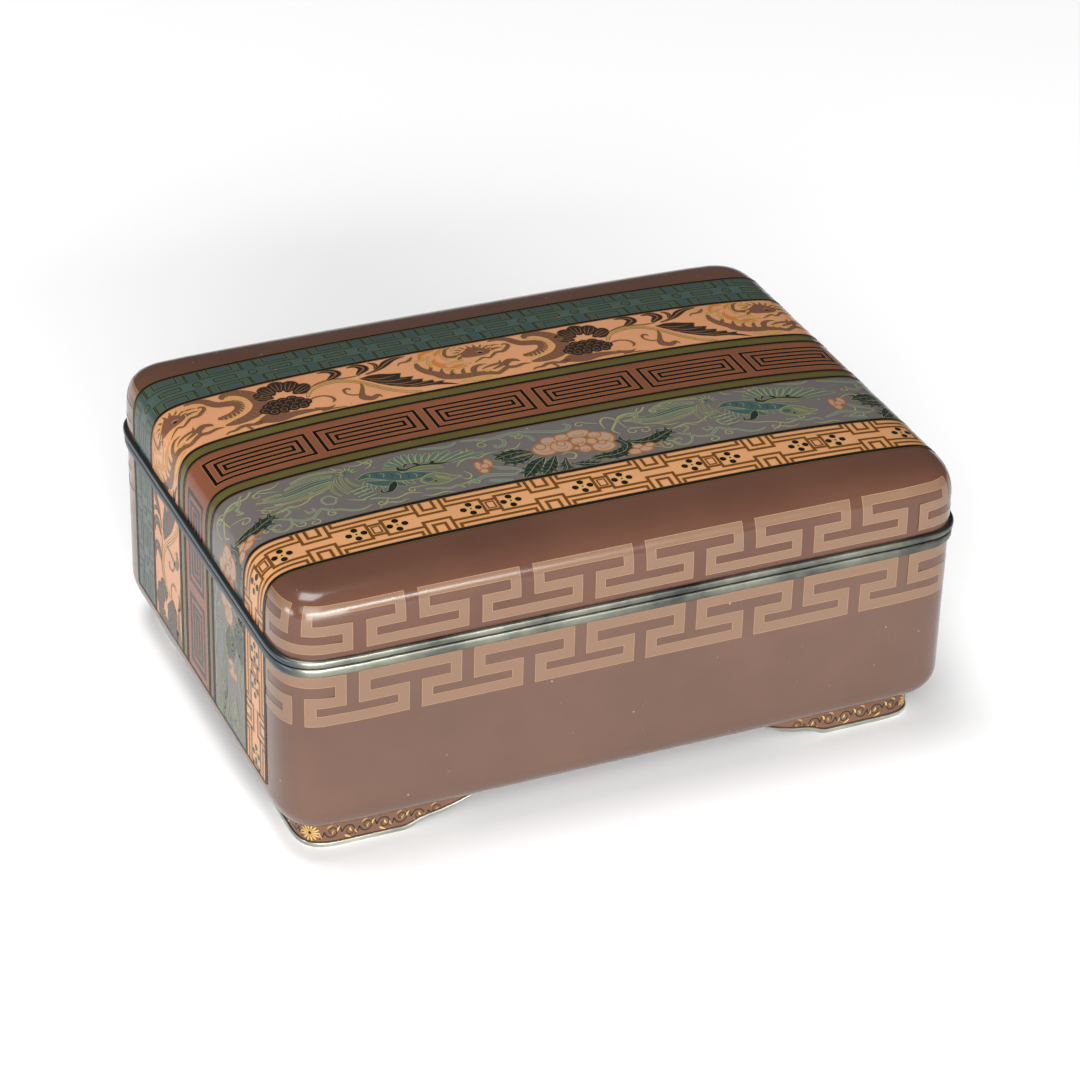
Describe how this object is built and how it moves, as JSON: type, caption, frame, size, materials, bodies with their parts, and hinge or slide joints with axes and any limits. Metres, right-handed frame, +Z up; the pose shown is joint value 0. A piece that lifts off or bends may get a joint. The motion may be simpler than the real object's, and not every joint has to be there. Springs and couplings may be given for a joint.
{
  "type": "cloisonne enamel box",
  "caption": "Shallow rounded rectangular enamelled metal box with a hollow domed lift-off lid, silver rims at the join and bracket feet at the corners.",
  "frame": {"origin": "middle of the footprint at the level the feet stand on", "axes": "+X along the length, with the enamel bands; -Y is the front; +Z up"},
  "size_m": [0.1414, 0.1034, 0.0608],
  "materials": {
    "brown_enamel": "polished enamel, brown ground with coloured bands",
    "silver": "silver, softly polished and a little tarnished"
  },
  "bodies": {
    "root": {"body_shell": "brown_enamel", "body_rim": "silver", "lid_rim": "silver", "lid_shell": "brown_enamel", "foot_front_left": "brown_enamel", "foot_edge_front_left": "silver", "foot_front_right": "brown_enamel", "foot_edge_front_right": "silver", "foot_back_right": "brown_enamel", "foot_edge_back_right": "silver", "foot_back_left": "brown_enamel", "foot_edge_back_left": "silver"}
  },
  "joints": []
}
